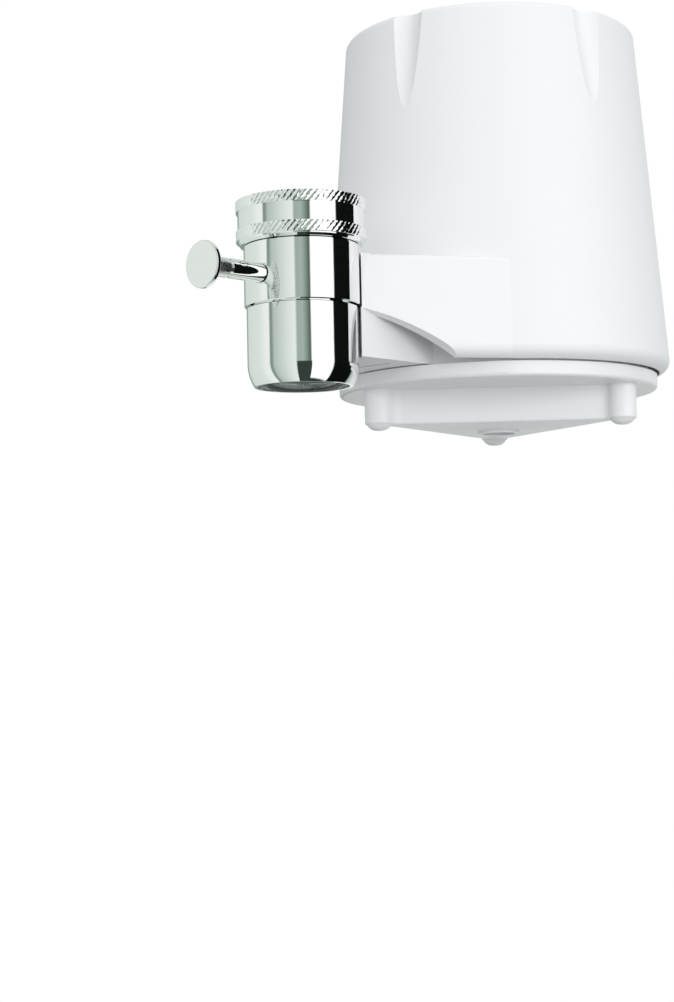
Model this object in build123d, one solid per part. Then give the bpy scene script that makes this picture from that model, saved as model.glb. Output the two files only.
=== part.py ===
from build123d import *
import os
from functools import cache
from math import acos, cos, degrees, radians, sin, sqrt, tan

# A water filter that screws onto a kitchen tap: a chrome diverter valve with a pull-out pin, and a
# white filter canister carried on the valve's side arm. Millimetres, +Z up. The origin is the centre
# of the collar's mouth, and +X points from the valve's axis to the canister's axis.

# Clearances
run_gap = 0.05            # radial, for shafts that turn or slide in their holes
seat_gap = 0.1            # between faces that stand on each other and turn
free_gap = 0.3            # between pieces that only pass each other
skin = 0.02               # an O-ring's outside to the bore that it seals
over = 1.0                # how far a cutting shape runs past the face that it opens

# Collar nut, with the 15/16 in-27 female thread of a tap's spout
thread_r = 11.4           # minor radius of the thread
thread_length = 4.2
nut_wall = 2.8            # from the thread out to the two knurled bands
waist_step = 0.4          # depth of the plain band between them
knurl_depth = 0.45
knurl_teeth = 48
knurl_lean = 40.0         # degrees that the teeth slant to the right
top_band = 2.6
waist_band = 4.0
low_band = 2.4
collar_foot = 0.8
foot_chamfer = 0.5
relief_step = 0.5         # depth of the relief below the thread
collar_lip = 1.6          # thickness of the inward lip that hangs the valve

# Washer, screen and retaining ring at the valve's neck
washer_band = 2.9
washer_thick = 2.0
washer_drop = 0.2         # from the end of the thread to the washer's top
screen_thick = 0.5
screen_hole_r = 0.75
screen_pitch = 2.3
screen_rings = 3
ring_thick = 0.8
ring_reach = 1.5          # from the neck out to the ring's rim
ring_groove = 0.6         # depth of the groove that holds it
ring_split = 40.0         # degrees left open

# Valve body, its cross bore and the port to each side
lip_reach = 2.5           # from the nut's relief in to the neck
valve_r = 12.6
valve_height = 13.2
edge_chamfer = 0.2
pin_drop = 7.1            # from the top of the valve's barrel to the pin's axis
neck_wall = 2.9
inlet_depth = 4.2
drop_r = 3.5              # the hole from the inlet down to the chamber
drop_x = 1.0
chamber_gap = 0.6         # round the seat washers
left_seat_x = -5.0
hole_wall = 1.2           # metal left round the stem's hole
mouth_gap = 0.25          # radial, round the stem where the hole opens outward
mouth_depth = 0.7
port_wall = 0.6           # from the left seat to the slot that lets water down to the bell
port_width = 3.0
port_length = 7.0
boss_length = 4.9

# Pull pin: stem, knob, seat washers and their screw
stem_r = 2.1
tail_step = 0.6           # how much thinner the tail in the knob is
stroke = 8.0              # from the left seat to the right one
knob_r = 5.0
knob_thick = 1.1
knob_face_x = -29.2       # pulled out, as water pressure holds it
hub_length = 5.5
neck_groove = 0.8
neck_groove_depth = 0.4
tail_length = 3.0
seat_band = 0.8           # how far the flange covers the seat's rim
flange_thick = 2.4
seat_washer_lip = 0.2     # how far a seat washer stands out past the flange
seat_washer_thick = 0.8
screw_r = 1.0
screw_head_r = 1.8
screw_head = 0.9
screw_length = 3.0

# Stem seal, its retainer and the return spring
stem_seal_cord = 0.6      # half the O-ring's thickness
retainer_thick = 0.7
spring_wire = 0.5
spring_room = 1.3         # round the stem, for the seal and the spring
spring_turns = 5

# Outlet bell, its washer and the aerator
bell_step = 0.45          # how far the bell stands back from the barrel
bell_seam = 0.25
bell_length = 17.15
bell_wall = 1.25
bell_foot_step = 1.45     # how far its foot curves in
bell_foot_curve = 9.0
bell_edge = 0.8           # flat ring round the mouth
bell_lip = 1.8
bell_washer_thick = 1.8
bell_washer_band = 2.25
insert_wall = 1.1
insert_plate = 1.5
insert_ledge = 0.8
jet_r = 0.6
jets = 24
jet_inset = 4.1           # from the bell's bore in to the ring of jets
aerator_screen_thick = 0.6

# Spigot from the valve into the canister's arm, its seals and its clip
spigot_thread_wall = 1.0  # from the chamber out to the spigot's thread
spigot_wall = 1.75
spigot_end_x = 24.0
seal_cord = 0.6
seal_groove = 1.5
seal_first_x = 15.6
seal_step = 3.0
clip_x = 21.0
clip_thick = 1.0
clip_root_wall = 0.8      # left round the bore in the clip's groove
clip_half = 5.2
clip_reach = 8.0          # from the spigot's axis down to the clip's back
clip_top = 2.6            # from the spigot's axis up to the leg ends

# Filter housing: canister, skirt and side arm in one moulding
arm_reach = 11.9          # from the valve's barrel to the canister's lip
housing_top = 47.6
housing_low = -34.2
lip_round = 3.0
draft = 4.64              # degrees the canister's side leans in
shoulder = 1.4
roof = 3.2
skirt_wall = 2.4
skirt_gap = 2.6           # between the skirt and the inner wall, at the foot
vessel_wall = 3.0         # from the cap's thread to the outside of the inner wall
vessel_lean = 2.5         # degrees
skirt_pocket_top = 10.0
flutes_round = 5
flute_turn = 43.5         # degrees from +X to the first flute
flute_r = 4.5
flute_depth = 2.6
flute_length = 22.0
arm_top = -11.5
arm_low = -23.4
arm_inset = 2.1           # how much narrower than the barrel the arm's end is, each side
arm_round = 1.0
fairing_inset = 0.7       # from the lip in to the circle that the arm's side faces run out on
web_step = 0.5            # how much narrower than the arm the web below it is, each side
web_notch_half = 4.0
web_bevel = 0.5           # keeps the web's slanted corners off the bell
web_notch_gap = 0.45
recess_tip = 19.4         # from the arm's end to where its slanted edge meets the foot
recess_bow = 1.3          # how far that edge bows up in its middle
arm_wall = 2.4
socket_gap = 0.15         # round the spigot
passage_r = 2.6
land_height = 4.5         # bore that the cap's seal works in
thread_step = 1.0         # from that bore out to the cap's thread
inner_lean = 0.9          # degrees

# Bottom cap with its three-sided grip and prongs
cap_seam = 0.2
flange_height = 3.5
flange_round = 0.9
flange_edge = 0.2         # small round at the flange's upper edge
plug_wall = 3.6
prong_inset = 5.5         # from the flange's rim in to the middle of a prong
prong_r = 3.3
prong_length = 9.4
prong_round = 2.8
prong_turn = 41.3         # degrees from +X to the first prong
grip_height = 8.1
grip_blend = 2.5          # hollow between a prong and the grip's flat sides
grip_round = 0.6
grip_wall = 3.0
floor_thick = 3.0
cone_r = 14.0
cone_drop = 0.8
outlet_lip_r = 4.9
outlet_lip = 0.5
outlet_r = 3.85
cap_seal_cord = 1.1
cap_pitch = 4.0           # drop of the cap for each turn
cap_turns = 2.0

# Filter cartridge
nipple_r = 6.45
nipple_bore_r = 3.2
nipple_seal_cord = 0.75
nipple_seal_up = 6.0      # from the nipple's end to the middle of its seal
socket_wall = 2.5
socket_height = 9.6
cartridge_gap = 2.95      # between the cartridge and the inside of the cap's plug
end_cap_wall = 0.7
end_cap_thick = 3.5
end_cap_rim = 3.0
carbon_r = 23.4
carbon_bore_r = 6.2
carbon_low = -22.0
carbon_top = 38.0
wrap_thick = 1.2
glue_gap = 0.05

# Radii worked out from the sizes above, from each piece to the one round it
band_r = thread_r + nut_wall
waist_r = band_r - waist_step
relief_r = thread_r + relief_step
washer_r = thread_r - free_gap
washer_bore_r = washer_r - washer_band
neck_r = relief_r - lip_reach
ring_r = neck_r + ring_reach
inlet_r = neck_r - neck_wall
spring_bore_r = stem_r + spring_room
flange_r = spring_bore_r + seat_band
seat_washer_r = flange_r + seat_washer_lip
chamber_r = seat_washer_r + chamber_gap
spring_r = (stem_r + spring_bore_r) / 2
bell_r = valve_r - bell_step
bell_bore_r = bell_r - bell_wall
bell_foot_r = bell_r - bell_foot_step
bell_mouth_r = bell_foot_r - bell_edge
boss_r = bell_bore_r - run_gap
insert_r = bell_bore_r - seat_gap
spigot_thread_r = chamber_r + spigot_thread_wall
spigot_bore_r = screw_head_r + free_gap
spigot_r = spigot_bore_r + spigot_wall
clip_root_r = spigot_bore_r + clip_root_wall
socket_r = spigot_r + socket_gap
arm_half = valve_r - arm_inset
web_half = arm_half - web_step
end_cap_r = carbon_r + 2 * glue_gap + wrap_thick + end_cap_wall
plug_r = end_cap_r + cartridge_gap + plug_wall
land_r = plug_r + run_gap
mouth_r = land_r + thread_step
vessel_r = mouth_r + vessel_wall
lip_r = vessel_r + skirt_gap + skirt_wall
fairing_r = lip_r - fairing_inset
flange_rim_r = lip_r - lip_round
prong_circle_r = flange_rim_r - prong_inset

# Levels and places worked out in the same way
axis_x = valve_r + arm_reach + lip_r      # from the valve's axis to the canister's
collar_height = top_band + waist_band + low_band + collar_foot
lip_top = collar_lip - collar_height
washer_top = -(thread_length + washer_drop)
neck_top = washer_top - washer_thick
ring_low = lip_top + seat_gap
valve_top = -(collar_height + seat_gap)
valve_low = valve_top - valve_height
boss_low = valve_low - boss_length
pin_z = valve_top - pin_drop
bell_top = valve_low - bell_seam
bell_low = bell_top - bell_length
shelf_z = bell_low + bell_lip
insert_top = boss_low - bell_washer_thick
poppet_x = left_seat_x + seat_gap
poppet_end_x = poppet_x + 2 * seat_washer_thick + flange_thick
right_seat_x = poppet_end_x + stroke + 2 * seat_gap
hub_x = knob_face_x + knob_thick
stem_x = hub_x + hub_length
spring_bore_end = hole_wall - valve_r
retainer_x = spring_bore_end + 2 * stem_seal_cord + skin
port_x = left_seat_x - port_wall - port_width / 2
saddle_r = valve_r + free_gap
arm_end_x = sqrt(saddle_r ** 2 - arm_half ** 2)
recess_tip_x = arm_end_x + recess_tip
cap_top = housing_low - cap_seam
rim_low = cap_top - flange_height
grip_low = rim_low - grip_height
floor_z = grip_low + floor_thick
plug_thread_r = mouth_r - free_gap
land_low = housing_low + cap_pitch * cap_turns
land_top = land_low + land_height
plug_top = land_top - free_gap
nipple_end = floor_z + free_gap
end_cap_low = carbon_low - end_cap_thick


def upright(radius, low, top, x=0.0):
    """A solid cylinder along Z."""
    return Pos(x, 0, (low + top) / 2) * Cylinder(radius, top - low)


def crosswise(radius, left, right):
    """A solid cylinder along X, on the pin's axis."""
    return Pos((left + right) / 2, 0, pin_z) * Rot(0, 90, 0) * Cylinder(radius, right - left)


def hoop(bore_r, cord, z, x=0.0):
    """An O-ring round a vertical axis, given its inner radius and half its thickness."""
    return Pos(x, 0, z) * Torus(bore_r + cord, cord)


def cross_hoop(bore_r, cord, x):
    """An O-ring round the pin's axis."""
    return Pos(x, 0, pin_z) * Rot(0, 90, 0) * Torus(bore_r + cord, cord)


def spun(outline, x=0.0):
    """The solid that a closed outline in the XZ plane sweeps round a vertical axis."""
    return Pos(x, 0, 0) * revolve(Plane.XZ * make_face(outline), Axis.Z)


def prism(points, low, top):
    """A solid with a polygon plan between two levels."""
    return Pos(0, 0, low) * extrude(make_face(Polyline(*points, close=True)), top - low)


# Valve, from the spout down

def knurled(low, top):
    """A knurled band: fine slanting teeth round a disc."""
    step = 360 / knurl_teeth
    teeth = []
    for tooth in range(knurl_teeth):
        tip, root = radians(tooth * step), radians((tooth + 0.5) * step)
        teeth.append((band_r * cos(tip), band_r * sin(tip)))
        teeth.append(((band_r - knurl_depth) * cos(root), (band_r - knurl_depth) * sin(root)))
    height = top - low
    turn = degrees(height * tan(radians(knurl_lean)) / band_r)
    plan = make_face(Polyline(*teeth, close=True)).face()
    return Pos(0, 0, low) * Solid.extrude_linear_with_rotation(plan, (0, 0, 0), (0, 0, height), turn)


def collar_nut():
    """Swivel nut: two knurled bands, a plain waist, the thread and the lip that hangs the valve."""
    waist_top = -top_band
    waist_low = waist_top - waist_band
    foot_top = waist_low - low_band
    foot = upright(waist_r, -collar_height, foot_top)
    foot = chamfer(foot.edges().sort_by(Axis.Z)[0], foot_chamfer)
    nut = knurled(waist_top, 0) + upright(waist_r, waist_low, waist_top) + knurled(foot_top, waist_low) + foot
    nut -= upright(thread_r, -thread_length, 0)
    nut -= upright(relief_r, lip_top, -thread_length)
    return nut - upright(neck_r + run_gap, -collar_height, lip_top)


def inlet_washer():
    """Flat rubber washer that the spout presses on."""
    return upright(washer_r, neck_top, washer_top) - upright(washer_bore_r, neck_top, washer_top)


def inlet_screen():
    """Round strainer plate in the washer's bore, with rings of holes."""
    plate = upright(washer_bore_r, neck_top, neck_top + screen_thick)
    holes = [upright(screen_hole_r, neck_top, neck_top + screen_thick)]
    for ring in range(1, screen_rings + 1):
        for place in range(6 * ring):
            turn = radians(60 * place / ring)
            shift = Pos(ring * screen_pitch * cos(turn), ring * screen_pitch * sin(turn), 0)
            holes.append(shift * holes[0])
    return plate - holes


def collar_ring():
    """Split ring in the neck's groove, on which the collar's lip hangs the valve."""
    ring = upright(ring_r, ring_low, ring_low + ring_thick)
    ring -= upright(neck_r - ring_groove, ring_low, ring_low + ring_thick)
    reach = 2 * ring_r
    half = radians(ring_split / 2)
    wedge = [(0, 0), (reach * cos(half), reach * sin(half)), (reach * cos(half), -reach * sin(half))]
    return ring - prism(wedge, ring_low, ring_low + ring_thick)


def valve_body():
    """Barrel with the neck above, the bell's boss below, the cross bore and its ports."""
    barrel = upright(valve_r, valve_low, valve_top)
    barrel = chamfer(barrel.edges().group_by(Axis.Z)[0] + barrel.edges().group_by(Axis.Z)[-1], edge_chamfer)
    body = barrel + upright(neck_r, valve_top, neck_top) + upright(boss_r, boss_low, valve_low)
    groove = upright(neck_r, ring_low, ring_low + ring_thick)
    body -= groove - upright(neck_r - ring_groove, ring_low, ring_low + ring_thick)
    body -= upright(inlet_r, neck_top - inlet_depth, neck_top)
    body -= upright(drop_r, pin_z, neck_top - inlet_depth, drop_x)
    body -= crosswise(stem_r + run_gap, -valve_r - over, spring_bore_end)
    body -= crosswise(stem_r + mouth_gap, -valve_r - over, mouth_depth - valve_r)
    body -= crosswise(spring_bore_r, spring_bore_end, left_seat_x)
    body -= crosswise(chamber_r, left_seat_x, right_seat_x)
    body -= crosswise(spigot_thread_r, right_seat_x, valve_r + over)
    port = extrude(SlotOverall(port_length, port_width), pin_z - boss_low)
    return body - Pos(port_x, 0, boss_low) * Rot(0, 0, 90) * port


def outlet_bell():
    """Chrome bell screwed up under the barrel, with its curved-in foot."""
    curve_rise = bell_foot_curve * sin(acos(1 - (bell_r - bell_foot_r) / bell_foot_curve))
    curve_half = acos(1 - (bell_r - bell_foot_r) / bell_foot_curve) / 2
    bow = (bell_r - bell_foot_curve + bell_foot_curve * cos(curve_half),
           bell_low + curve_rise - bell_foot_curve * sin(curve_half))
    outline = [
        Polyline((bell_bore_r, bell_top), (bell_r - edge_chamfer, bell_top), (bell_r, bell_top - edge_chamfer),
                 (bell_r, bell_low + curve_rise)),
        ThreePointArc((bell_r, bell_low + curve_rise), bow, (bell_foot_r, bell_low)),
        Polyline((bell_foot_r, bell_low), (bell_mouth_r, bell_low), (bell_mouth_r, shelf_z),
                 (bell_bore_r, shelf_z), (bell_bore_r, bell_top)),
    ]
    return spun(outline)


def bell_washer():
    """Rubber washer between the barrel's boss and the aerator."""
    washer = upright(boss_r - seat_gap, insert_top, boss_low)
    return washer - upright(boss_r - bell_washer_band, insert_top, boss_low)


def aerator_insert():
    """Plastic cup with a ring of jets above and a ledge for the screen below."""
    insert = upright(insert_r, shelf_z, insert_top)
    insert -= upright(insert_r - insert_wall, shelf_z + insert_ledge, insert_top - insert_plate)
    insert -= upright(insert_r - insert_wall - insert_ledge, shelf_z, shelf_z + insert_ledge)
    jet = upright(jet_r, insert_top - insert_plate, insert_top)
    spots = [radians(360 * spot / jets) for spot in range(jets)]
    circle_r = bell_bore_r - jet_inset
    return insert - [Pos(circle_r * cos(spot), circle_r * sin(spot), 0) * jet for spot in spots]


def aerator_screen():
    """Round screen that lies on the insert's ledge."""
    low = shelf_z + insert_ledge
    return upright(insert_r - insert_wall, low, low + aerator_screen_thick)


# Pull pin and what guides it

def valve_stem():
    """Stem with its flange inside, a thin neck by the knob and the tail that the knob screws onto."""
    flange_x = poppet_x + seat_washer_thick
    stem = crosswise(stem_r, stem_x + neck_groove, flange_x)
    stem += crosswise(stem_r - neck_groove_depth, stem_x, stem_x + neck_groove)
    stem += crosswise(stem_r - tail_step, stem_x - tail_length, stem_x)
    stem += crosswise(flange_r, flange_x, flange_x + flange_thick)
    return stem - crosswise(screw_r, poppet_end_x - screw_length, flange_x + flange_thick)


def pull_knob():
    """Flat round head and hub."""
    head = crosswise(knob_r, knob_face_x, hub_x)
    head = fillet(head.edges().filter_by(GeomType.CIRCLE), knob_thick / 4)
    knob = head + crosswise(stem_r, hub_x, stem_x)
    return knob - crosswise(stem_r - tail_step, stem_x - tail_length, stem_x)


def seat_washers():
    """Two rubber washers, one on each face of the stem's flange."""
    left = crosswise(seat_washer_r, poppet_x, poppet_x + seat_washer_thick)
    left -= crosswise(stem_r, poppet_x, poppet_x + seat_washer_thick)
    right = crosswise(seat_washer_r, poppet_end_x - seat_washer_thick, poppet_end_x)
    right -= crosswise(screw_r, poppet_end_x - seat_washer_thick, poppet_end_x)
    return Compound(children=[left, right])


def seat_screw():
    """Screw that holds the right-hand seat washer to the flange."""
    shank = crosswise(screw_r, poppet_end_x - screw_length, poppet_end_x)
    return shank + crosswise(screw_head_r, poppet_end_x, poppet_end_x + screw_head)


def stem_seal():
    """O-ring that seals the stem where it leaves the barrel."""
    bore = stem_r + skin
    cord = min(stem_seal_cord, (spring_bore_r - skin - bore) / 2)
    return cross_hoop(bore, cord, spring_bore_end + skin + stem_seal_cord)


def seal_retainer():
    """Plain washer that keeps the stem seal in place and carries the spring."""
    ring = crosswise(spring_bore_r - skin, retainer_x, retainer_x + retainer_thick)
    return ring - crosswise(stem_r + run_gap, retainer_x, retainer_x + retainer_thick)


def return_spring():
    """Compression spring round the stem, squeezed while the pin is out."""
    start = retainer_x + retainer_thick + spring_wire / 2
    length = poppet_x - start - spring_wire / 2
    path = Helix(length / spring_turns, length, spring_r, center=(start, 0, pin_z), direction=(1, 0, 0))
    wire = Plane(origin=path @ 0, z_dir=path % 0) * Circle(spring_wire / 2)
    return sweep(wire, path=path, is_frenet=True)


# Spigot between the valve and the arm

def seal_places():
    """Where the spigot's two O-rings sit along X."""
    return [seal_first_x, seal_first_x + seal_step]


def filter_spigot():
    """Brass nipple screwed into the barrel, with two seal grooves and a clip groove."""
    thread_end_x = sqrt(valve_r ** 2 - spigot_thread_r ** 2) - free_gap
    body = crosswise(spigot_thread_r, right_seat_x, thread_end_x)
    body += crosswise(spigot_r, thread_end_x, spigot_end_x)
    root_r = socket_r - skin - 2 * seal_cord
    for place in seal_places():
        groove = crosswise(spigot_r, place - seal_groove / 2, place + seal_groove / 2)
        body -= groove - crosswise(root_r, place - seal_groove / 2, place + seal_groove / 2)
    clip_end = clip_x + clip_thick + 2 * seat_gap
    body -= crosswise(spigot_r, clip_x, clip_end) - crosswise(clip_root_r, clip_x, clip_end)
    return body - crosswise(spigot_bore_r, right_seat_x, spigot_end_x)


def spigot_seals():
    """The two O-rings of the spigot."""
    bore = socket_r - skin - 2 * seal_cord
    return Compound(children=[cross_hoop(bore, seal_cord, place) for place in seal_places()])


def spigot_clip():
    """U-shaped spring clip pushed up from below, astride the spigot's groove."""
    left = clip_x + seat_gap
    legs = Pos(left + clip_thick / 2, 0, pin_z + (clip_top - clip_reach) / 2) * Box(
        clip_thick, 2 * clip_half, clip_top + clip_reach)
    fork_r = clip_root_r + run_gap
    slot = Pos(left + clip_thick / 2, 0, pin_z + clip_top / 2) * Box(clip_thick, 2 * fork_r, clip_top)
    return legs - slot - crosswise(fork_r, left, left + clip_thick)


# Filter housing

def side_r(z):
    """Outer radius of the canister's leaning side at a level."""
    return lip_r - (z - housing_low - lip_round) * tan(radians(draft))


def wall_r(z):
    """Outer radius of the inner wall at a level."""
    return vessel_r - (z - housing_low) * tan(radians(vessel_lean))


def canister():
    """Leaning side, rounded shoulder and rounded bottom lip."""
    lip_z = housing_low + lip_round
    top_r = side_r(housing_top)
    turn = lip_round * (1 - sqrt(0.5))
    outline = [
        Polyline((0, housing_low), (lip_r - lip_round, housing_low)),
        ThreePointArc((lip_r - lip_round, housing_low), (lip_r - turn, housing_low + turn), (lip_r, lip_z)),
        Polyline((lip_r, lip_z), (top_r, housing_top), (0, housing_top), (0, housing_low)),
    ]
    solid = spun(outline)
    return Pos(axis_x, 0, 0) * fillet(solid.edges().group_by(Axis.Z)[-1], shoulder)


def fairing_plan():
    """Plan of the arm: from its end at the valve, along tangents to the canister."""
    span = axis_x - arm_end_x
    reach = sqrt(span ** 2 + arm_half ** 2)
    along = sqrt(reach ** 2 - fairing_r ** 2)
    # unit vector from the arm's corner to the canister's axis, then turned out to the tangent point
    to_axis = (span / reach, arm_half / reach)
    cos_turn, sin_turn = along / reach, fairing_r / reach
    heading = (to_axis[0] * cos_turn + to_axis[1] * sin_turn, to_axis[1] * cos_turn - to_axis[0] * sin_turn)
    tangent = (arm_end_x + along * heading[0], -arm_half + along * heading[1])
    return [(arm_end_x, -arm_half), tangent, (axis_x, 0), (tangent[0], -tangent[1]), (arm_end_x, arm_half)]


def arm():
    """Side arm from the valve's saddle to the canister, with the web below it."""
    plan = make_face(Polyline(*fairing_plan(), close=True))
    body = Pos(0, 0, housing_low) * extrude(plan, arm_top - housing_low, taper=draft)
    on_side = lambda edge: edge.center().X < axis_x / 2 and abs(edge.center().Y) > 1
    body = fillet(body.edges().group_by(Axis.Z)[0].filter_by(on_side), lip_round)
    body = fillet(body.edges().group_by(Axis.Z)[-1].filter_by(on_side), arm_round)
    return body - upright(saddle_r, housing_low, arm_top)


def inner_wall():
    """The pressure wall's outer surface, as a solid cone for cutting with."""
    low_r, top_r = wall_r(housing_low), wall_r(housing_top)
    outline = Polyline((0, housing_low), (low_r, housing_low), (top_r, housing_top), (0, housing_top), close=True)
    return spun(outline, axis_x)


def web(low=housing_low):
    """Block on the arm's middle line that holds the spigot's socket, notched round the bell."""
    corner_x = sqrt((bell_r + free_gap) ** 2 - web_half ** 2) + web_bevel
    notch_x = bell_r + web_notch_gap
    plan = [(corner_x, -web_half), (notch_x, -web_notch_half), (notch_x, web_notch_half),
            (corner_x, web_half), (axis_x, web_half), (axis_x, -web_half)]
    return prism(plan, low, arm_top)


def recess():
    """What is open below the arm: under its slanted edge and behind its side walls."""
    deep = housing_low - over
    middle = ((arm_end_x + recess_tip_x) / 2 + recess_bow / 2, (arm_low + housing_low) / 2 + recess_bow)
    outline = [
        Polyline((-valve_r, arm_low), (arm_end_x, arm_low)),
        ThreePointArc((arm_end_x, arm_low), middle, (recess_tip_x, housing_low)),
        Polyline((recess_tip_x, housing_low), (recess_tip_x, deep), (-valve_r, deep), (-valve_r, arm_low)),
    ]
    below = extrude(Plane.XZ * make_face(outline), lip_r, both=True)
    plan = offset(make_face(Polyline(*fairing_plan(), close=True)), -arm_wall, kind=Kind.INTERSECTION)
    pocket = Pos(0, 0, housing_low) * extrude(plan, arm_top - arm_wall - housing_low, taper=draft)
    return below + pocket - web(deep) - inner_wall()


def skirt_pocket():
    """Narrow ring-shaped gap between the skirt and the inner wall, open below."""
    low_out = side_r(housing_low + lip_round) - skirt_wall
    outline = Polyline((wall_r(housing_low), housing_low), (low_out, housing_low),
                       (low_out, housing_low + lip_round),
                       (side_r(skirt_pocket_top) - skirt_wall, skirt_pocket_top),
                       (wall_r(skirt_pocket_top), skirt_pocket_top), close=True)
    return spun(outline, axis_x) - web()


def clip_slot():
    """Slot in the web that the clip goes up through."""
    low = housing_low - over
    slot_top = pin_z + clip_top + free_gap
    return Pos(clip_x + clip_thick / 2 + seat_gap, 0, (low + slot_top) / 2) * Box(
        clip_thick + 2 * seat_gap, 2 * (clip_half + seat_gap), slot_top - low)


def cavity():
    """Inside of the canister: thread mouth, seal land and the room for the cartridge."""
    ceiling = housing_top - roof
    top_r = land_r - (ceiling - land_top) * tan(radians(inner_lean))
    outline = Polyline((0, housing_low), (mouth_r, housing_low), (mouth_r, land_low), (land_r, land_low),
                       (land_r, land_top), (top_r, ceiling), (0, ceiling), close=True)
    return spun(outline, axis_x)


def flutes():
    """Finger flutes that run out down the canister's side."""
    top_reach = side_r(housing_top) + flute_r - flute_depth
    end_z = housing_top - flute_length
    end_reach = side_r(end_z) + flute_r
    slope = (end_reach - top_reach) / flute_length
    over = flute_length * 2
    path = Line((top_reach - slope * shoulder, 0, housing_top + shoulder),
                (top_reach + slope * over, 0, housing_top - over))
    tool = sweep(Plane(origin=path @ 0, z_dir=path % 0) * Circle(flute_r), path=path)
    turns = [flute_turn + 360 * place / flutes_round for place in range(flutes_round)]
    return [Pos(axis_x, 0, 0) * Rot(0, 0, turn) * tool for turn in turns]


@cache
def white_moulding():
    """The canister and its arm, which are moulded in one and kept as three solids, to keep each simple."""
    ways = crosswise(socket_r, 0, spigot_end_x + free_gap) + crosswise(passage_r, 0, axis_x - land_r + over)
    solid = canister() + arm() - recess()
    solid += web() - upright(saddle_r, arm_low, arm_top + over) - cavity()
    return solid - skirt_pocket() - cavity() - clip_slot() - ways - flutes()


def round_part():
    """All that lies inside the canister's round side, but for the arm's web."""
    return canister() - (web() - inner_wall())


def inner_part():
    """The cone inside the inner wall's outer surface, up to the roof."""
    return inner_wall() - upright(lip_r, housing_top - roof, housing_top + over, axis_x)


def filter_housing():
    """The moulding's skirt, upper wall and roof."""
    return white_moulding() & (round_part() - inner_part())


def pressure_wall():
    """Its inner wall, which holds the cartridge and the cap's thread."""
    return white_moulding() & inner_part()


def side_arm():
    """Its arm and web, from the canister to the valve."""
    return white_moulding() - round_part()


# Bottom cap

def prong_spots():
    """The three prongs' places round the canister's axis."""
    turns = [radians(prong_turn + 120 * prong) for prong in range(3)]
    return [(prong_circle_r * cos(turn), prong_circle_r * sin(turn)) for turn in turns]


def bottom_cap():
    """Screw cap: threaded plug, flange, three-sided grip with prongs, and the outlet."""
    corners = make_face(Polyline(*prong_spots(), close=True))
    plug = upright(plug_thread_r, cap_top, land_low - free_gap) + upright(plug_r, cap_top, plug_top)
    rim = upright(flange_rim_r, rim_low, cap_top)
    rim = fillet(rim.edges().group_by(Axis.Z)[0], flange_round)
    rim = fillet(rim.edges().group_by(Axis.Z)[-1], flange_edge)
    grip_plan = corners + [Pos(x, y) * Circle(prong_r) for x, y in prong_spots()]
    grip_plan = fillet(grip_plan.vertices(), grip_blend)
    prong = upright(prong_r, rim_low - prong_length, rim_low)
    prong = fillet(prong.edges().group_by(Axis.Z)[0], prong_round)
    grip = Pos(0, 0, grip_low) * extrude(grip_plan, grip_height)
    grip = fillet(grip.edges().group_by(Axis.Z)[0], grip_round)
    nozzle = spun(Polyline((0, grip_low), (cone_r, grip_low), (outlet_lip_r, grip_low - cone_drop),
                           (outlet_lip_r, grip_low - cone_drop - outlet_lip),
                           (0, grip_low - cone_drop - outlet_lip), close=True))
    cap = plug + rim + grip + nozzle + [Pos(x, y, 0) * prong for x, y in prong_spots()]
    hollow = upright(plug_r - plug_wall, rim_low + flange_height / 2, plug_top)
    inside = offset(corners, -grip_wall, kind=Kind.INTERSECTION)
    hollow += Pos(0, 0, floor_z) * extrude(inside, plug_top - floor_z)
    socket_bore_r = nipple_r + run_gap
    hollow -= upright(socket_bore_r + socket_wall, floor_z, floor_z + socket_height)
    hollow += upright(socket_bore_r, floor_z, floor_z + socket_height)
    hollow += upright(outlet_r, grip_low - cone_drop - outlet_lip, floor_z)
    cap -= hollow
    seal_low, seal_high = cap_seal_span()
    groove = upright(plug_r, seal_low, seal_high)
    cap -= groove - upright(land_r - skin - 2 * cap_seal_cord, seal_low, seal_high)
    return Pos(axis_x, 0, 0) * cap


def cap_seal_span():
    """Low and high side of the cap's seal groove."""
    middle = (land_low + plug_top) / 2
    return middle - cap_seal_cord - seat_gap, middle + cap_seal_cord + seat_gap


def cap_seal():
    """Large O-ring round the cap's plug."""
    seal_low, seal_high = cap_seal_span()
    return hoop(land_r - skin - 2 * cap_seal_cord, cap_seal_cord, (seal_low + seal_high) / 2, axis_x)


# Filter cartridge

def carbon_block():
    """Pressed carbon tube."""
    block = upright(carbon_r, carbon_low, carbon_top, axis_x)
    return block - upright(carbon_bore_r, carbon_low, carbon_top, axis_x)


def prefilter_wrap():
    """Felt sleeve round the carbon."""
    inner_r = carbon_r + glue_gap
    low, top = carbon_low + glue_gap, carbon_top - glue_gap
    return upright(inner_r + wrap_thick, low, top, axis_x) - upright(inner_r, low, top, axis_x)


def end_cup(low, top, open_low, open_top):
    """A glued end cap: a disc with a rim round the wrap's end."""
    cup = upright(end_cap_r, low, top, axis_x)
    return cup - upright(carbon_r + 2 * glue_gap + wrap_thick, open_low, open_top, axis_x)


def cartridge_top_cap():
    """Blind end cap."""
    return end_cup(carbon_top - end_cap_rim, carbon_top + end_cap_thick, carbon_top - end_cap_rim, carbon_top)


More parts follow.
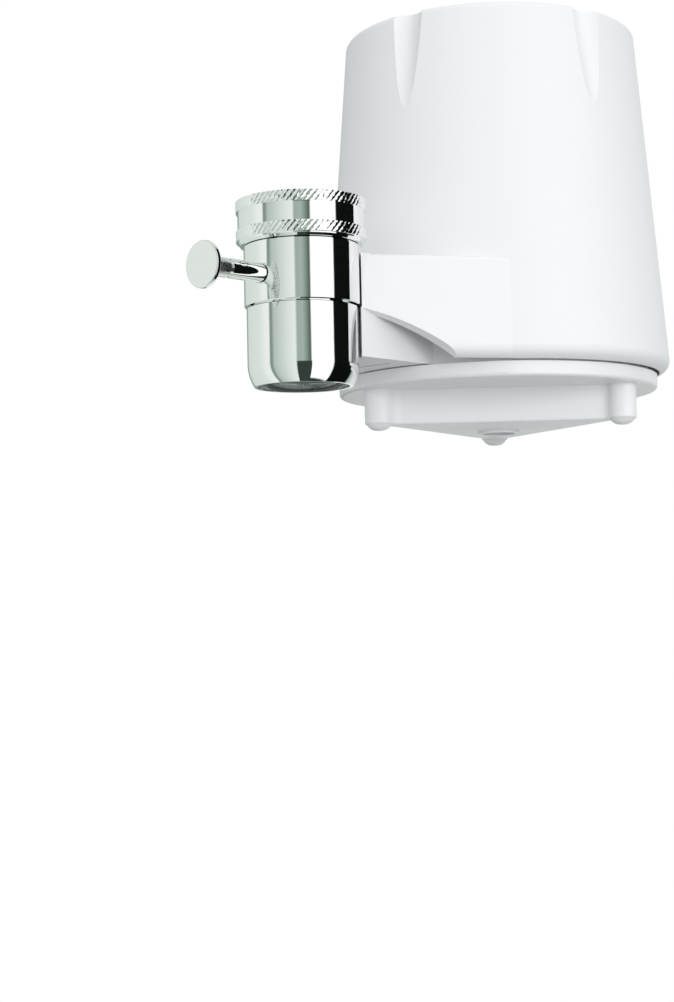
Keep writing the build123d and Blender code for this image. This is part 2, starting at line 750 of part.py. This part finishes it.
def cartridge_bottom_cap():
    """End cap with the outlet nipple and its seal groove."""
    cap = end_cup(end_cap_low, carbon_low + end_cap_rim, carbon_low, carbon_low + end_cap_rim)
    cap += upright(nipple_r, nipple_end, end_cap_low, axis_x)
    middle = nipple_end + nipple_seal_up
    low, top = middle - nipple_seal_cord - seat_gap, middle + nipple_seal_cord + seat_gap
    cap -= upright(nipple_r, low, top, axis_x) - upright(nipple_seal_bore_r(), low, top, axis_x)
    return cap - upright(nipple_bore_r, nipple_end, carbon_low, axis_x)


def nipple_seal_bore_r():
    """Inner radius of the nipple's O-ring."""
    return nipple_r + run_gap - skin - 2 * nipple_seal_cord


def nipple_seal():
    """O-ring between the nipple and the cap's socket."""
    return hoop(nipple_seal_bore_r(), nipple_seal_cord, nipple_end + nipple_seal_up, axis_x)


PIECES = [
    collar_nut, inlet_washer, inlet_screen, collar_ring, valve_body, outlet_bell, bell_washer,
    aerator_insert, aerator_screen, valve_stem, pull_knob, seat_washers, seat_screw, stem_seal,
    seal_retainer, return_spring, filter_spigot, spigot_seals, spigot_clip, filter_housing, pressure_wall,
    side_arm, bottom_cap, cap_seal, carbon_block, prefilter_wrap, cartridge_top_cap, cartridge_bottom_cap,
    nipple_seal,
]

os.makedirs("parts", exist_ok=True)
for piece in PIECES:
    export_step(piece(), f"parts/{piece.__name__}.step")
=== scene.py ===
from math import ceil, cos, floor, pi, radians, sin, sqrt

import bmesh
import bpy
from mathutils import Matrix, Vector


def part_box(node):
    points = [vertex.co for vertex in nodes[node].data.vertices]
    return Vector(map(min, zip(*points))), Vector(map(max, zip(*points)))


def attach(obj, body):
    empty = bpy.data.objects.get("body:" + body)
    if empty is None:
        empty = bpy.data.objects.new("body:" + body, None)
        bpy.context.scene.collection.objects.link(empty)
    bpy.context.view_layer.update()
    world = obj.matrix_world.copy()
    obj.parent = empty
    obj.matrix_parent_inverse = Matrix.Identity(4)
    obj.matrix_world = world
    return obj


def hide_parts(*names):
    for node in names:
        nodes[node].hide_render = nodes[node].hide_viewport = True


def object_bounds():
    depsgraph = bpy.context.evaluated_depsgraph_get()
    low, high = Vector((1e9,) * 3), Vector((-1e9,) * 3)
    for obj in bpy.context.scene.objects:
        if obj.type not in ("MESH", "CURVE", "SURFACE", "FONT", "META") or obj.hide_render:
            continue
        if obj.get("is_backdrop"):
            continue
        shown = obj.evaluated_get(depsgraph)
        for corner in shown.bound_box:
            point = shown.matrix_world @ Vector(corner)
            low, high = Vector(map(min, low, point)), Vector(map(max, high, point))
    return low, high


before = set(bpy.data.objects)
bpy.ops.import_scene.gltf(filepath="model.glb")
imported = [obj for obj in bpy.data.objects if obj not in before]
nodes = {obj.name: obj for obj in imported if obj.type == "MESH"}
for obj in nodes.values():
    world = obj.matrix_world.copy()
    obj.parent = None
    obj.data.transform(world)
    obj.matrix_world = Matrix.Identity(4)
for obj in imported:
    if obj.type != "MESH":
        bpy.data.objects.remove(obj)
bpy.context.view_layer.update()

mm = 0.001


# The view.
# The camera stands a little below the filter, in front of the arm and to its left, and looks up at it with
# a long lens. Its place was worked out from the ellipses of the collar, the bell and the cap's flange.

picture_height = 1002
focal_pixels = 1950
camera_turn = radians(-45.71)
camera_tilt = radians(3.354)
camera_roll = radians(-1.185)
camera_place = Vector((-295.92, -297.88, -89.96)) * mm
nearest_drawn = 0.01

lens = bpy.data.cameras.new("camera")
lens.sensor_fit = "VERTICAL"
lens.lens = lens.sensor_height * focal_pixels / picture_height
lens.clip_start = nearest_drawn
camera = bpy.data.objects.new("camera", lens)
camera.matrix_world = (Matrix.Translation(camera_place) @ Matrix.Rotation(camera_turn, 4, "Z")
                       @ Matrix.Rotation(pi / 2 + camera_tilt, 4, "X") @ Matrix.Rotation(camera_roll, 4, "Z"))
bpy.context.scene.collection.objects.link(camera)
bpy.context.scene.camera = camera
bpy.context.scene.view_settings.view_transform = "Standard"


# The studio.
# A white sweep, even light from all round and one broad lamp, to the right of the camera at the part's own
# height. What the chrome mirrors is a ring of boards: pale to the left, grey behind the camera, then white,
# then black.

def shader_tree(owner):
    """The node tree of a new material or world, emptied, with a function that adds a node to it."""
    owner.use_nodes = True
    tree = owner.node_tree
    tree.nodes.clear()

    def add(kind, **values):
        node = tree.nodes.new(kind)
        for name, value in values.items():
            if name in node.inputs:
                if isinstance(value, bpy.types.NodeSocket):
                    tree.links.new(value, node.inputs[name])
                else:
                    node.inputs[name].default_value = value
            else:
                setattr(node, name, value)
        return node
    return tree, add


def wire(tree, source, node, socket):
    """Links an output to a socket given by its place in the node."""
    tree.links.new(source, node.inputs[socket])


def grey(value):
    """An opaque grey, greener the darker it is, as the chrome shows its surroundings."""
    return (value * (1 - 0.33 * max(0, 1 - value)), value, value * (1 - 0.2 * max(0, 1 - value)), 1)


def plain(value):
    """A number as a colour."""
    return (value, value, value, 1)


def ramp(add, factor, stops, ease="LINEAR", paint=grey):
    """A colour ramp through stops of (place, level)."""
    node = add("ShaderNodeValToRGB", Fac=factor)
    node.color_ramp.interpolation = ease
    keys = node.color_ramp.elements
    while len(keys) < len(stops):
        keys.new(1)
    for key, (place, level) in zip(keys, stops):
        key.position = place
        key.color = paint(level)
    return node.outputs["Color"]


def round_camera(stops):
    """Turns angles round the object, in degrees to the right of the camera, into places on a ramp."""
    return [(angle / 360 + 0.5, level) for angle, level in stops]


boards = [(-180, 0.3), (-160, 0.36), (-148, 0.72), (-101, 0.77), (-82, 0.88), (-73, 0.88), (-71, 0.3),
          (-66, 0.3), (-62, 0.53), (-50, 0.62), (-33, 0.75), (-15, 0.86), (-11, 0.42), (0, 0.46), (7, 0.32),
          (16, 0.1), (18.5, 1.12), (65, 1.12), (67.5, 0.005), (119, 0.005), (125, 0.52), (140, 0.76),
          (180, 0.86)]
boards_below = [(-180, 0.8), (-84, 0.8), (-60, 0.5), (-30, 0.6), (-14, 0.55), (-12, 0.05), (17, 0.05),
                (18, 0.03), (66, 0.02), (120, 0.006), (126, 0.6), (180, 0.8)]
board_feet = [(-180, 0.05), (-13, 0.5), (18, 0.14), (67.5, 0.05)]   # half of one plus the sine of their level
feet_blend = 0.03          # how softly the boards end at their feet
ambient = 0.91
ambient_colour = (0.985, 0.995, 1, 1)
backdrop_white = 1.0

world = bpy.data.worlds.new("studio")
bpy.context.scene.world = world
tree, add = shader_tree(world)
way = add("ShaderNodeTexCoord").outputs["Generated"]
turned_way = add("ShaderNodeMapping", vector_type="NORMAL", Vector=way)
turned_way.inputs["Rotation"].default_value = (0, 0, -camera_turn)
parts = add("ShaderNodeSeparateXYZ", Vector=turned_way.outputs["Vector"])
toward = add("ShaderNodeMath", operation="MULTIPLY")
wire(tree, parts.outputs["Y"], toward, 0)
toward.inputs[1].default_value = -1
turn = add("ShaderNodeMath", operation="ARCTAN2")
wire(tree, parts.outputs["X"], turn, 0)
wire(tree, toward.outputs[0], turn, 1)
place = add("ShaderNodeMapRange", Value=turn.outputs[0])
place.inputs["From Min"].default_value = -pi
place.inputs["From Max"].default_value = pi
feet = ramp(add, place.outputs[0], round_camera(board_feet), "CONSTANT", plain)
level = add("ShaderNodeMapRange", Value=parts.outputs["Z"])
level.inputs["From Min"].default_value = -1
level.inputs["From Max"].default_value = 1
sunk = add("ShaderNodeMath", operation="SUBTRACT")
wire(tree, feet, sunk, 0)
wire(tree, level.outputs[0], sunk, 1)
low = add("ShaderNodeMapRange", Value=sunk.outputs[0])
low.inputs["From Min"].default_value = 0
low.inputs["From Max"].default_value = feet_blend
mirror = add("ShaderNodeMix", data_type="RGBA")
wire(tree, low.outputs[0], mirror, 0)
wire(tree, ramp(add, place.outputs[0], round_camera(boards)), mirror, 6)
wire(tree, ramp(add, place.outputs[0], round_camera(boards_below)), mirror, 7)
path = add("ShaderNodeLightPath")
mirrored = add("ShaderNodeBackground", Color=mirror.outputs[2])
white = add("ShaderNodeBackground", Color=(1, 1, 1, 1), Strength=backdrop_white)
even = add("ShaderNodeBackground", Color=ambient_colour, Strength=ambient)
seen = add("ShaderNodeMath", operation="MAXIMUM")
wire(tree, path.outputs["Is Camera Ray"], seen, 0)
wire(tree, path.outputs["Is Transmission Ray"], seen, 1)
lit = add("ShaderNodeMixShader", Fac=path.outputs["Is Glossy Ray"])
wire(tree, even.outputs[0], lit, 1)
wire(tree, mirrored.outputs[0], lit, 2)
shown = add("ShaderNodeMixShader", Fac=seen.outputs[0])
wire(tree, lit.outputs[0], shown, 1)
wire(tree, white.outputs[0], shown, 2)
add("ShaderNodeOutputWorld", Surface=shown.outputs[0])

floor_level = -0.26
floor_reach = 6.0
floor_near = 0.2
floor_far = 0.45
floor_bounce = 0.43       # how much of the light the sweep sends back up at the part
floor_shown = 0.9         # its own tone, where the camera sees it
floor_corners = [(-1, -1), (1, -1), (1, 1), (-1, 1)]
floor_mesh = bpy.data.meshes.new("floor")
floor_mesh.from_pydata([(x * floor_reach, y * floor_reach, floor_level) for x, y in floor_corners],
                       [], [(0, 1, 2, 3)])
floor_sheet = bpy.data.objects.new("floor", floor_mesh)
bpy.context.scene.collection.objects.link(floor_sheet)
floor_paint = bpy.data.materials.new("white_sweep")
tree, add = shader_tree(floor_paint)
spot = add("ShaderNodeNewGeometry").outputs["Position"]
away = add("ShaderNodeVectorMath", operation="LENGTH")
wire(tree, spot, away, 0)
fade = add("ShaderNodeMapRange", Value=away.outputs["Value"])
fade.interpolation_type = "SMOOTHSTEP"
fade.inputs["From Min"].default_value = floor_near
fade.inputs["From Max"].default_value = floor_far
path = add("ShaderNodeLightPath")
glow = add("ShaderNodeMath", operation="MULTIPLY")
wire(tree, fade.outputs[0], glow, 0)
wire(tree, path.outputs["Is Camera Ray"], glow, 1)
tone = add("ShaderNodeMapRange", Value=path.outputs["Is Camera Ray"])
tone.inputs["To Min"].default_value = floor_bounce
tone.inputs["To Max"].default_value = floor_shown
paint = add("ShaderNodeBsdfDiffuse", Color=tone.outputs[0])
bright = add("ShaderNodeEmission", Color=(1, 1, 1, 1), Strength=backdrop_white)
mixed = add("ShaderNodeMixShader", Fac=glow.outputs[0])
wire(tree, paint.outputs[0], mixed, 1)
wire(tree, bright.outputs[0], mixed, 2)
add("ShaderNodeOutputMaterial", Surface=mixed.outputs[0])
floor_mesh.materials.append(floor_paint)
floor_sheet.visible_glossy = False
floor_sheet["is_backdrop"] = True


def lamp(name, place, size, power):
    """A square lamp that points at the part's middle and doesn't show in the chrome."""
    data = bpy.data.lights.new(name, "AREA")
    data.size = size
    data.energy = power
    light = bpy.data.objects.new(name, data)
    light.location = place
    light.rotation_euler = (part_middle - light.location).to_track_quat("-Z", "Y").to_euler()
    light.visible_glossy = False
    light.visible_camera = False
    bpy.context.scene.collection.objects.link(light)


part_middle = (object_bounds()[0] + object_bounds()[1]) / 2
key_place = Vector((-0.42, -0.95, 0.0))
key_size = 0.5
key_power = 4.2
lamp("key", key_place, key_size, key_power)


# The collar nut.
# A brass nut, turned, knurled in two bands and chrome-plated. It screws onto the tap's spout with a fine
# thread, and its inward lip hangs the valve so that the filter can swivel.

chrome_colour = (0.945, 0.955, 0.95, 1)
chrome_roughness = 0.035
turned_roughness = 0.24
plating_wave = 0.02

collar_top = 0.0
collar_low = -9.8
mouth_r = 13.2            # of the nut's top, inside its rounded edge
mouth_in_r = 12.0         # where the thread's lead-in opens
shoulder_r = 13.6
shoulder_drop = 0.12
band_r = 14.2
waist_r = 13.8
upper_band = (-0.2, -2.55)
lower_band = (-6.65, -8.95)
foot_r = 13.75            # of the thin foot below the lower band, then the two radii of its edge
foot_edge_r = 13.72
foot_in_r = 13.3
foot_top = -9.0
foot_edge = -9.3
lip_r = 9.45
lip_top = -8.2
relief_r = 11.9           # between the lip and the thread
relief_top = -4.7
knurl_depth = 0.14
cross_depth = 0.35        # of the grooves that lean left, against those that lean right
knurls_round = 64
knurl_steps = 8           # steps of the mesh for each diamond
knurl_rows = 10
knurl_height = 1.6        # of one diamond
groove_slope = 1.3        # over 1, so that flats are left between the grooves
thread_r = 11.4
thread_major_r = 11.85
thread_start = -0.25
thread_end = -4.2
thread_pitch = 25.4 / 27
thread_slope = 1.3        # over 1, so that root and crest are flat
thread_flat = 0.12


def chrome(name, rim=None):
    """Bright plating: a mirror with the faintest waviness and polishing haze.

    Where a rim is given, as its middle along X and half its width, all but the rim is turned and duller."""
    material = bpy.data.materials.new(name)
    tree, add = shader_tree(material)
    spot = add("ShaderNodeTexCoord").outputs["Object"]
    haze = add("ShaderNodeTexNoise", Vector=spot, Scale=900.0, Detail=3.0)
    dull = add("ShaderNodeMapRange", Value=haze.outputs[0])
    dull.inputs["To Min"].default_value = chrome_roughness * 0.7
    dull.inputs["To Max"].default_value = chrome_roughness * 1.5
    if rim:
        on_rim = add("ShaderNodeMath", operation="COMPARE")
        wire(tree, add("ShaderNodeSeparateXYZ", Vector=spot).outputs["X"], on_rim, 0)
        on_rim.inputs[1].default_value, on_rim.inputs[2].default_value = rim
        more = add("ShaderNodeMapRange", Value=on_rim.outputs[0])
        more.inputs["To Min"].default_value = turned_roughness / chrome_roughness
        more.inputs["To Max"].default_value = 1
        bright, dull = dull, add("ShaderNodeMath", operation="MULTIPLY")
        wire(tree, bright.outputs[0], dull, 0)
        wire(tree, more.outputs[0], dull, 1)
    wave = add("ShaderNodeTexNoise", Vector=spot, Scale=260.0, Detail=1.0)
    bump = add("ShaderNodeBump", Strength=plating_wave, Distance=0.0002, Height=wave.outputs[0])
    metal = add("ShaderNodeBsdfPrincipled", Roughness=dull.outputs[0], Normal=bump.outputs[0])
    metal.inputs["Base Color"].default_value = chrome_colour
    metal.inputs["Metallic"].default_value = 1
    add("ShaderNodeOutputMaterial", Surface=metal.outputs[0])
    return material


def new_piece(name, points, faces, material, sharp=radians(28)):
    """A mesh object from points in millimetres, smooth but for its edges."""
    mesh = bpy.data.meshes.new(name)
    mesh.from_pydata([Vector(point) * mm for point in points], [], faces)
    mesh.validate()
    shape = bmesh.new()
    shape.from_mesh(mesh)
    bmesh.ops.recalc_face_normals(shape, faces=shape.faces)
    shape.to_mesh(mesh)
    shape.free()
    mesh.shade_smooth()
    mesh.set_sharp_from_angle(angle=sharp)
    mesh.materials.append(material)
    piece = bpy.data.objects.new(name, mesh)
    bpy.context.scene.collection.objects.link(piece)
    return piece


def turned(rows, steps, x=0.0):
    """Points and faces of a closed outline of (radius, z) swept round a vertical axis.

    A radius can be a function of the step. Between two such rows each face is split along its crease."""
    points, faces = [], []
    for radius, z in rows:
        for step in range(steps):
            angle = 2 * pi * step / steps
            reach = radius(step) if callable(radius) else radius
            points.append((x + reach * cos(angle), reach * sin(angle), z))
    for row, (radius, z) in enumerate(rows):
        after = (row + 1) % len(rows)
        creased = callable(radius) and callable(rows[after][0])
        for step in range(steps):
            beside = (step + 1) % steps
            a, b = row * steps + step, row * steps + beside
            c, d = after * steps + beside, after * steps + step
            if not creased:
                faces.append((a, b, c, d))
            elif (row + step) % 2:
                faces += [(a, b, d), (b, c, d)]
            else:
                faces += [(a, b, c), (a, c, d)]
    return points, faces


def knurled(top, low):
    """Rows of a band of diamond knurl: two crossing sets of grooves with narrow flats left between them."""
    rows = [(waist_r, top)]
    for number in range(knurl_rows + 1):
        z = top + (low - top) * number / knurl_rows

        def reach(step, along=(z - top) / knurl_height):
            across = step / knurl_steps
            right = 1 - min(1, groove_slope * abs(2 * ((across - along) % 1) - 1))
            left = 1 - min(1, groove_slope * abs(2 * ((across + along) % 1) - 1))
            return band_r - knurl_depth * max(right, cross_depth * left)
        rows.append((reach, z))
    return rows + [(waist_r, low)]


def threaded(major_r, minor_r, top, low, pitch, steps):
    """Rows of a fine V-thread cut between two radii, as a profile that winds up as it goes round."""
    count = ceil((top - low) / pitch * 12)
    rows = []
    for number in range(count + 1):
        z = top + (low - top) * number / count

        def reach(step, z=z):
            wave = abs(2 * ((z / pitch - step / steps) % 1) - 1)
            return minor_r + (major_r - minor_r) * min(1, max(0, wave * thread_slope - thread_flat))
        rows.append((reach, z))
    return rows


collar_steps = knurl_steps * knurls_round
outside = [(mouth_r, collar_top), (shoulder_r, collar_top - shoulder_drop)]
outside += knurled(*upper_band) + knurled(*lower_band)
outside += [(foot_r, foot_top), (foot_edge_r, foot_edge), (foot_in_r, collar_low), (lip_r, collar_low)]
inside = [(lip_r, lip_top), (relief_r, lip_top), (relief_r, relief_top), (thread_major_r, thread_end)]
inside += threaded(thread_major_r, thread_r, thread_end, thread_start, thread_pitch, collar_steps)
inside += [(mouth_in_r, collar_top)]
nut = new_piece("collar_nut_knurled", *turned(outside + inside, collar_steps), chrome("collar_chrome_finish"))
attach(nut, "collar")
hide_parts("collar_nut")


# The washer, the strainer and the split ring under the spout.
# A flat rubber washer seals on the spout's end, and a punched steel strainer lies in its bore. A spring
# steel ring in the neck's groove carries the nut's lip.

def rubber(name, colour=(0.018, 0.018, 0.02, 1)):
    """Black moulded rubber with a dry, slightly uneven skin."""
    material = bpy.data.materials.new(name)
    tree, add = shader_tree(material)
    spot = add("ShaderNodeTexCoord").outputs["Object"]
    grain = add("ShaderNodeTexNoise", Vector=spot, Scale=2600.0, Detail=4.0)
    dull = add("ShaderNodeMapRange", Value=grain.outputs[0])
    dull.inputs["To Min"].default_value = 0.5
    dull.inputs["To Max"].default_value = 0.75
    bump = add("ShaderNodeBump", Strength=0.25, Distance=0.0001, Height=grain.outputs[0])
    skin = add("ShaderNodeBsdfPrincipled", Roughness=dull.outputs[0], Normal=bump.outputs[0])
    skin.inputs["Base Color"].default_value = colour
    add("ShaderNodeOutputMaterial", Surface=skin.outputs[0])
    return material


tool_marks = 0.15


def metal(name, colour, roughness, scale=(1, 1, 1)):
    """Bare metal with fine tool or drawing marks, stretched along one axis."""
    material = bpy.data.materials.new(name)
    tree, add = shader_tree(material)
    spot = add("ShaderNodeTexCoord").outputs["Object"]
    stretched = add("ShaderNodeMapping", Vector=spot, Scale=scale)
    marks = add("ShaderNodeTexNoise", Vector=stretched.outputs[0], Scale=3000.0, Detail=3.0)
    dull = add("ShaderNodeMapRange", Value=marks.outputs[0])
    dull.inputs["To Min"].default_value = roughness * 0.7
    dull.inputs["To Max"].default_value = roughness * 1.3
    bump = add("ShaderNodeBump", Strength=tool_marks, Distance=0.00005, Height=marks.outputs[0])
    body = add("ShaderNodeBsdfPrincipled", Roughness=dull.outputs[0], Normal=bump.outputs[0])
    body.inputs["Base Color"].default_value = colour
    body.inputs["Metallic"].default_value = 1
    add("ShaderNodeOutputMaterial", Surface=body.outputs[0])
    return material


def dress(material, *names):
    """Gives CAD nodes a finish."""
    for name in names:
        for slot in nodes[name].material_slots:
            slot.material = material


steel = metal("spring_steel_drawn", (0.55, 0.55, 0.54, 1), 0.3, (1, 1, 0.1))
seal_rubber = rubber("seal_rubber_black")
dress(rubber("washer_rubber_black", (0.03, 0.03, 0.032, 1)), "inlet_washer", "bell_washer")
dress(metal("strainer_steel_punched", (0.62, 0.62, 0.6, 1), 0.32), "inlet_screen")
dress(steel, "collar_ring")


# The valve body.
# A brass barrel, turned, cross-drilled for the pin and chrome-plated, hung in the nut by its neck.

valve_chrome = chrome("valve_chrome_finish")
dress(valve_chrome, "valve_body")


# The outlet bell with its aerator.
# A chrome-plated bell screwed up under the barrel. It holds a rubber washer, a plastic cup with a ring of
# jets, and a disc of woven steel wire on the cup's ledge, which shows from below.

dress(chrome("bell_chrome_finish"), "outlet_bell")

screen_low, screen_high = [corner.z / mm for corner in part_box("aerator_screen")]
screen_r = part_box("aerator_screen")[1].x / mm
weave_pitch = 0.62
wire_r = 0.13
wire_sides = 6


def woven_disc(radius, pitch, wire, level, sides):
    """Points and faces of two sets of wires that pass over and under each other inside a circle."""
    points, faces = [], []
    count = floor((radius - wire) / pitch)
    for lengthwise in (True, False):
        for number in range(-count, count + 1):
            offset = number * pitch
            reach = sqrt((radius - wire) ** 2 - offset ** 2)
            halves = max(2, ceil(2 * reach / (pitch / 2)))
            first = len(points)
            for stop in range(halves + 1):
                along = -reach + 2 * reach * stop / halves
                phase = 1 if (number % 2 == 0) == lengthwise else -1
                lift = phase * wire * 0.95 * cos(pi * along / pitch)
                for side in range(sides):
                    angle = 2 * pi * side / sides
                    across, up = wire * cos(angle), level + lift + wire * sin(angle)
                    if lengthwise:
                        points.append((along, offset + across, up))
                    else:
                        points.append((offset + across, along, up))
            for stop in range(halves):
                for side in range(sides):
                    a = first + stop * sides + side
                    b = first + stop * sides + (side + 1) % sides
                    faces.append((a, b, b + sides, a + sides))
            faces.append(tuple(first + side for side in range(sides)))
            faces.append(tuple(first + halves * sides + side for side in range(sides)))
    return points, faces


screen_steel = metal("strainer_steel_wire", (0.36, 0.37, 0.36, 1), 0.28)
screen = new_piece("aerator_screen_woven",
                   *woven_disc(screen_r, weave_pitch, wire_r, (screen_low + screen_high) / 2, wire_sides),
                   screen_steel, sharp=radians(80))
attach(screen, "filter")
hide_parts("aerator_screen")


def moulded(name, colour, roughness, grain_scale, grain_height, coat=0.0):
    """Injection-moulded plastic: an eroded grain as bump, and a sheen that varies a little with it."""
    material = bpy.data.materials.new(name)
    tree, add = shader_tree(material)
    spot = add("ShaderNodeTexCoord").outputs["Object"]
    grain = add("ShaderNodeTexNoise", Vector=spot, Scale=grain_scale, Detail=2.5, Roughness=0.6)
    dull = add("ShaderNodeMapRange", Value=grain.outputs[0])
    dull.inputs["To Min"].default_value = roughness * 0.85
    dull.inputs["To Max"].default_value = roughness * 1.2
    bump = add("ShaderNodeBump", Strength=1.0, Distance=grain_height * mm, Height=grain.outputs[0])
    body = add("ShaderNodeBsdfPrincipled", Roughness=dull.outputs[0], Normal=bump.outputs[0])
    body.inputs["Base Color"].default_value = colour
    body.inputs["Coat Weight"].default_value = coat
    add("ShaderNodeOutputMaterial", Surface=body.outputs[0])
    return material


dress(moulded("aerator_plastic_pale", (0.3, 0.32, 0.32, 1), 0.4, 2000.0, 0.004), "aerator_insert")


# The pull pin.
# A stem with a sealing flange inside the valve and a screwed-on knob outside: a thin round head on a hub.
# All of it is turned and plated. Two rubber washers and a screw close off one seat or the other.

dress(chrome("stem_chrome_finish"), "valve_stem")
head_face = nodes["pull_knob"].matrix_world.inverted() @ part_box("pull_knob")[0]
rim_middle = 0.6          # from the head's face in to the middle of its rim
rim_half = 0.4
dress(chrome("knob_chrome_finish", rim=(head_face.x + rim_middle * mm, rim_half * mm)), "pull_knob")
dress(seal_rubber, "seat_washers", "stem_seal", "spigot_seals", "nipple_seal", "cap_seal")
dress(steel, "seat_screw", "return_spring", "spigot_clip")
dress(metal("spigot_brass_turned", (0.72, 0.52, 0.25, 1), 0.25, (0.1, 1, 1)), "seal_retainer",
      "filter_spigot")


# The filter housing.
# Canister, skirt and side arm in one white moulding, with a fine eroded grain that kills its gloss.

dress(moulded("housing_white_grained", (0.86, 0.87, 0.885, 1), 0.42, 2300.0, 0.02), "filter_housing",
      "pressure_wall", "side_arm")


# The bottom cap.
# A white screw cap, smoother than the housing, with a three-sided grip whose corners end in prongs.

dress(moulded("cap_white_smooth", (0.87, 0.88, 0.895, 1), 0.3, 900.0, 0.004, 0.1), "bottom_cap")


# The cartridge.
# A pressed carbon tube in a felt sleeve, glued between two moulded end caps.

dress(moulded("carbon_pressed", (0.012, 0.012, 0.013, 1), 0.8, 700.0, 0.25), "carbon_block")
dress(moulded("felt_white", (0.8, 0.8, 0.77, 1), 0.95, 1400.0, 0.15), "prefilter_wrap")
dress(moulded("cartridge_blue", (0.05, 0.14, 0.42, 1), 0.35, 1500.0, 0.004), "cartridge_top_cap",
      "cartridge_bottom_cap")
